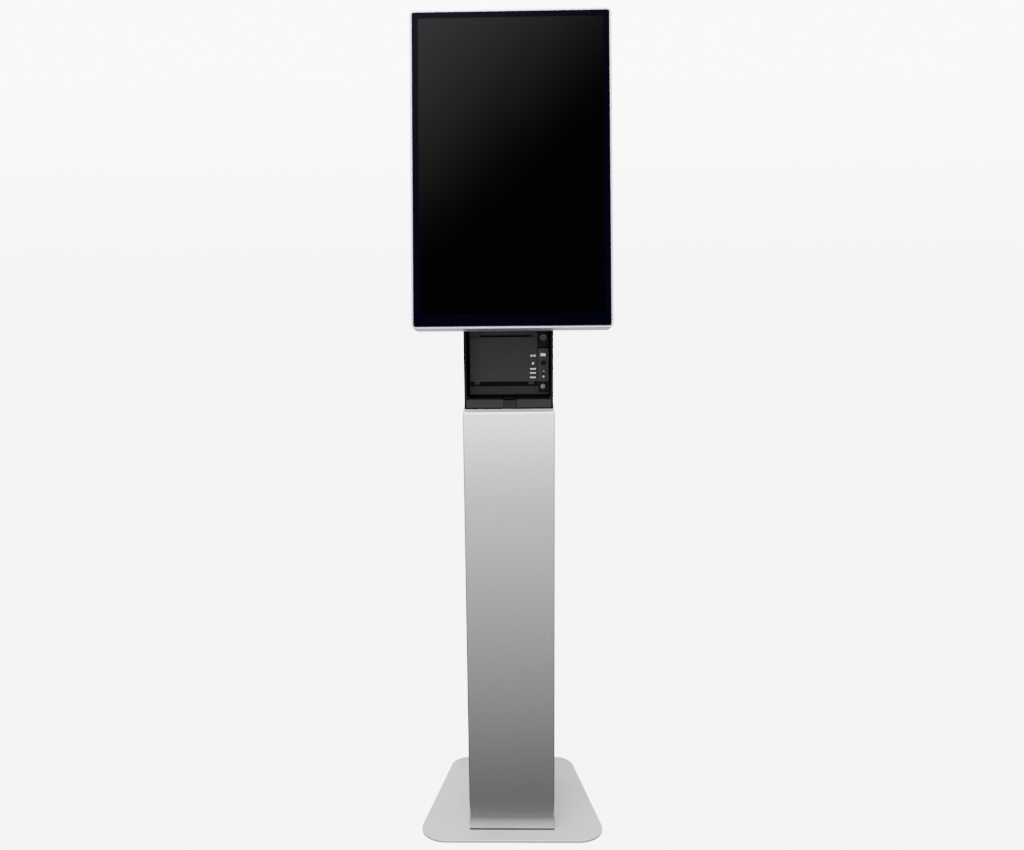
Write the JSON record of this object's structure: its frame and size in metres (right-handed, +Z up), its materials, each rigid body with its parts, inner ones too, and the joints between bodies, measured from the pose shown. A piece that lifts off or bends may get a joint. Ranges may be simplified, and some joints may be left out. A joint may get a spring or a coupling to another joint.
{
  "type": "touchscreen kiosk",
  "caption": "Free-standing touchscreen kiosk: a tilted portrait screen on a slim silver column, with a receipt printer on a slide-out tray under the screen.",
  "frame": {"origin": "middle of the base plate's resting face, on the floor", "axes": "+Z up, the screen faces -Y, +X to the right of a person in front of the kiosk"},
  "size_m": [0.3316, 0.3091, 1.4183],
  "materials": {
    "base_silver": "matte powder coat",
    "column_silver": "satin silver, fine metallic grain",
    "frame_black": "matte black powder coat",
    "zinc_steel": "plain",
    "pad_rubber": "plain",
    "housing_silver": "fine satin anodised",
    "screen_glass": "glossy, dark border",
    "lcd_black": "dark",
    "back_plastic": "fine moulded texture",
    "board_green": "solder mask",
    "heatsink_alu": "anodised",
    "port_black": "plain",
    "printer_dark": "fine moulded texture",
    "strip_dark": "satin moulded",
    "button_dark": "satin",
    "knob_grey": "satin",
    "latch_dark": "satin",
    "tray_grey": "satin dark grey",
    "roller_rubber": "ground",
    "gear_white": "natural acetal",
    "motor_steel": "plain",
    "head_alu": "plain",
    "paper_white": "wound paper",
    "computer_alu": "black anodised",
    "supply_alu": "perforated",
    "fan_black": "plain",
    "cable_black": "satin jacket",
    "switch_red": "plain"
  },
  "bodies": {
    "kiosk": {"base_plate": "base_silver", "base_pads": "pad_rubber", "column_foot": "frame_black", "foot_bolts": "zinc_steel", "frame_side_left": "frame_black", "frame_side_right": "frame_black", "column_cover": "column_silver", "mounting_plate": "zinc_steel", "bay_floor": "frame_black", "bay_roof": "frame_black", "bay_back": "frame_black", "neck_cover": "frame_black", "inlet_panel": "frame_black", "mains_inlet": "port_black", "hinge_frame_leaves": "zinc_steel", "hinge_pins": "zinc_steel", "computer": "computer_alu", "power_supply": "supply_alu", "display_housing": "housing_silver", "cover_glass": "screen_glass", "lcd_panel": "lcd_black", "display_back": "back_plastic", "display_board": "board_green", "board_heatsink": "heatsink_alu", "speakers": "port_black", "display_bracket": "frame_black", "vesa_screws": "zinc_steel", "bracket_bolts": "zinc_steel", "slide_channels": "zinc_steel", "signal_cable": "cable_black", "display_power_cable": "cable_black", "inlet_cable": "cable_black", "cable_plugs": "port_black"},
    "door": {"rear_door": "frame_black", "hinge_door_leaves": "zinc_steel", "lock_housing": "zinc_steel"},
    "door_lock": {"lock_barrel": "zinc_steel", "lock_cam": "zinc_steel"},
    "tray": {"printer_tray": "tray_grey", "slide_runners": "zinc_steel", "printer_base": "printer_dark", "upper_bezel": "printer_dark", "control_strip": "strip_dark", "cover_hinge_pin": "zinc_steel", "feed_motor": "motor_steel", "printer_board": "board_green"},
    "latch": {"tray_latch": "latch_dark"},
    "paper_cover": {"roll_cover": "printer_dark", "thermal_head": "head_alu"},
    "cover_lock": {"lock_knob": "knob_grey"},
    "feed_key": {"feed_button": "button_dark"},
    "power_key": {"power_button": "knob_grey"},
    "platen": {"platen_roller": "roller_rubber", "platen_gear": "gear_white"},
    "pinion": {"motor_pinion": "gear_white"},
    "cutter": {"cutter_blade": "zinc_steel"},
    "paper": {"paper_roll": "paper_white"},
    "fan": {"computer_fan": "fan_black"},
    "rocker": {"mains_switch": "switch_red"},
    "display_key": {"display_button": "button_dark"}
  },
  "joints": [
    {"name": "rear_door_hinge", "type": "hinge", "parent": "kiosk", "child": "door", "pos_m": [-0.061, 0.0792, 0.4], "axis": [0, 0, 1], "range_deg": [0, 110]},
    {"name": "door_lock_turn", "type": "hinge", "parent": "door", "child": "door_lock", "pos_m": [0.044, 0.076, 0.424], "axis": [0, -1, 0], "range_deg": [0, 90]},
    {"name": "tray_slide", "type": "slide", "parent": "kiosk", "child": "tray", "axis": [0, -1, 0], "range_m": [0, 0.1]},
    {"name": "tray_latch_lift", "type": "slide", "parent": "tray", "child": "latch", "axis": [0, 0, 1], "range_m": [0, 0.0025], "stiffness_N_per_m": 400},
    {"name": "paper_cover_hinge", "type": "hinge", "parent": "tray", "child": "paper_cover", "pos_m": [0, -0.054, 0.812], "axis": [1, 0, 0], "range_deg": [0, 85]},
    {"name": "cover_lock_turn", "type": "hinge", "parent": "tray", "child": "cover_lock", "pos_m": [0.0593, -0.056, 0.8909], "axis": [0, 1, 0], "range_deg": [0, 90]},
    {"name": "feed_button_press", "type": "slide", "parent": "tray", "child": "feed_key", "axis": [0, 1, 0], "range_m": [0, 0.001], "stiffness_N_per_m": 600},
    {"name": "power_button_press", "type": "slide", "parent": "tray", "child": "power_key", "axis": [0, 1, 0], "range_m": [0, 0.0012], "stiffness_N_per_m": 600},
    {"name": "platen_spin", "type": "hinge", "parent": "tray", "child": "platen", "pos_m": [0, -0.0435, 0.883], "axis": [1, 0, 0], "continuous": true},
    {"name": "pinion_spin", "type": "hinge", "parent": "tray", "child": "pinion", "pos_m": [0, -0.0336, 0.883], "axis": [1, 0, 0], "continuous": true},
    {"name": "cutter_slide", "type": "slide", "parent": "tray", "child": "cutter", "axis": [0, 0, -1], "range_m": [0, 0.005]},
    {"name": "paper_roll_spin", "type": "hinge", "parent": "tray", "child": "paper", "pos_m": [0, -0.008, 0.8405], "axis": [1, 0, 0], "continuous": true},
    {"name": "fan_spin", "type": "hinge", "parent": "kiosk", "child": "fan", "pos_m": [0, -0.06, 0.584], "axis": [0, 1, 0], "continuous": true},
    {"name": "mains_switch_rock", "type": "hinge", "parent": "kiosk", "child": "rocker", "pos_m": [0.022, 0.073, 0.046], "axis": [0, 0, -1], "range_deg": [0, 18]},
    {"name": "display_button_press", "type": "slide", "parent": "kiosk", "child": "display_key", "axis": [0, -0.9744, 0.225], "range_m": [0, 0.001], "stiffness_N_per_m": 600}
  ],
  "couplings": [
    {"joint": "pinion_spin", "follows": "platen_spin", "ratio": -2}
  ]
}
